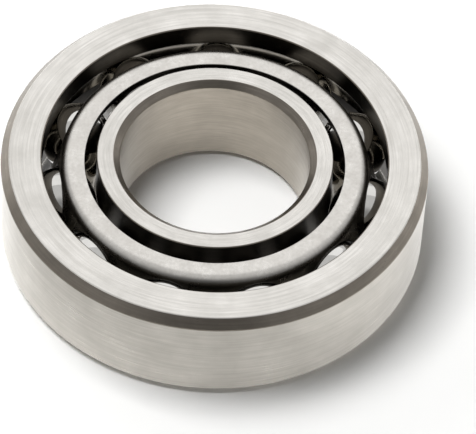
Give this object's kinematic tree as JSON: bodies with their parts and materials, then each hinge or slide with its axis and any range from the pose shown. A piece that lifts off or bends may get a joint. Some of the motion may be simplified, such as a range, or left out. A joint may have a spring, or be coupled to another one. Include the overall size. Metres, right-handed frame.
{
  "type": "angular contact ball bearing",
  "caption": "Angular contact ball bearing: inner and outer ring, a row of steel balls and a pressed steel window cage. Its inner ring turns on a shaft under radial load and thrust one way.",
  "frame": {"origin": "on the bearing's axis, half way across its width", "axes": "+Z along the axis, out of the face where the outer ring has its high shoulder; +Y towards the first ball"},
  "size_m": [0.09, 0.09, 0.023],
  "materials": {
    "ring_steel": "fine ground bearing steel, faces and raceways brighter than the outside",
    "ball_steel": "lapped and polished bearing steel",
    "cage_steel": "pressed low carbon sheet steel, tumbled satin"
  },
  "bodies": {
    "outer_ring": {"outer_ring": "ring_steel"},
    "inner_ring": {"inner_ring": "ring_steel"},
    "cage": {"cage": "cage_steel"},
    "ball_01": {"ball_01": "ball_steel"},
    "ball_02": {"ball_02": "ball_steel"},
    "ball_03": {"ball_03": "ball_steel"},
    "ball_04": {"ball_04": "ball_steel"},
    "ball_05": {"ball_05": "ball_steel"},
    "ball_06": {"ball_06": "ball_steel"},
    "ball_07": {"ball_07": "ball_steel"},
    "ball_08": {"ball_08": "ball_steel"},
    "ball_09": {"ball_09": "ball_steel"},
    "ball_10": {"ball_10": "ball_steel"},
    "ball_11": {"ball_11": "ball_steel"}
  },
  "joints": [
    {"name": "inner_ring_spin", "type": "hinge", "parent": "outer_ring", "child": "inner_ring", "pos_m": [0, 0, 0], "axis": [0, 0, 1], "continuous": true},
    {"name": "cage_spin", "type": "hinge", "parent": "outer_ring", "child": "cage", "pos_m": [0, 0, 0], "axis": [0, 0, 1], "continuous": true},
    {"name": "ball_01_spin", "type": "hinge", "parent": "cage", "child": "ball_01", "pos_m": [0, 0.0325, 0], "axis": [0, -0.6428, 0.766], "continuous": true},
    {"name": "ball_02_spin", "type": "hinge", "parent": "cage", "child": "ball_02", "pos_m": [-0.01757, 0.02734, 0], "axis": [0.3475, -0.5407, 0.766], "continuous": true},
    {"name": "ball_03_spin", "type": "hinge", "parent": "cage", "child": "ball_03", "pos_m": [-0.02956, 0.0135, 0], "axis": [0.5847, -0.267, 0.766], "continuous": true},
    {"name": "ball_04_spin", "type": "hinge", "parent": "cage", "child": "ball_04", "pos_m": [-0.03217, -0.00463, 0], "axis": [0.6362, 0.0915, 0.766], "continuous": true},
    {"name": "ball_05_spin", "type": "hinge", "parent": "cage", "child": "ball_05", "pos_m": [-0.02456, -0.02128, 0], "axis": [0.4858, 0.4209, 0.766], "continuous": true},
    {"name": "ball_06_spin", "type": "hinge", "parent": "cage", "child": "ball_06", "pos_m": [-0.00916, -0.03118, 0], "axis": [0.1811, 0.6168, 0.766], "continuous": true},
    {"name": "ball_07_spin", "type": "hinge", "parent": "cage", "child": "ball_07", "pos_m": [0.00916, -0.03118, 0], "axis": [-0.1811, 0.6168, 0.766], "continuous": true},
    {"name": "ball_08_spin", "type": "hinge", "parent": "cage", "child": "ball_08", "pos_m": [0.02456, -0.02128, 0], "axis": [-0.4858, 0.4209, 0.766], "continuous": true},
    {"name": "ball_09_spin", "type": "hinge", "parent": "cage", "child": "ball_09", "pos_m": [0.03217, -0.00463, 0], "axis": [-0.6362, 0.0915, 0.766], "continuous": true},
    {"name": "ball_10_spin", "type": "hinge", "parent": "cage", "child": "ball_10", "pos_m": [0.02956, 0.0135, 0], "axis": [-0.5847, -0.267, 0.766], "continuous": true},
    {"name": "ball_11_spin", "type": "hinge", "parent": "cage", "child": "ball_11", "pos_m": [0.01757, 0.02734, 0], "axis": [-0.3475, -0.5407, 0.766], "continuous": true}
  ],
  "couplings": [
    {"joint": "cage_spin", "follows": "inner_ring_spin", "ratio": 0.41113},
    {"joint": "ball_01_spin", "follows": "inner_ring_spin", "ratio": -2.087},
    {"joint": "ball_02_spin", "follows": "inner_ring_spin", "ratio": -2.087},
    {"joint": "ball_03_spin", "follows": "inner_ring_spin", "ratio": -2.087},
    {"joint": "ball_04_spin", "follows": "inner_ring_spin", "ratio": -2.087},
    {"joint": "ball_05_spin", "follows": "inner_ring_spin", "ratio": -2.087},
    {"joint": "ball_06_spin", "follows": "inner_ring_spin", "ratio": -2.087},
    {"joint": "ball_07_spin", "follows": "inner_ring_spin", "ratio": -2.087},
    {"joint": "ball_08_spin", "follows": "inner_ring_spin", "ratio": -2.087},
    {"joint": "ball_09_spin", "follows": "inner_ring_spin", "ratio": -2.087},
    {"joint": "ball_10_spin", "follows": "inner_ring_spin", "ratio": -2.087},
    {"joint": "ball_11_spin", "follows": "inner_ring_spin", "ratio": -2.087}
  ]
}
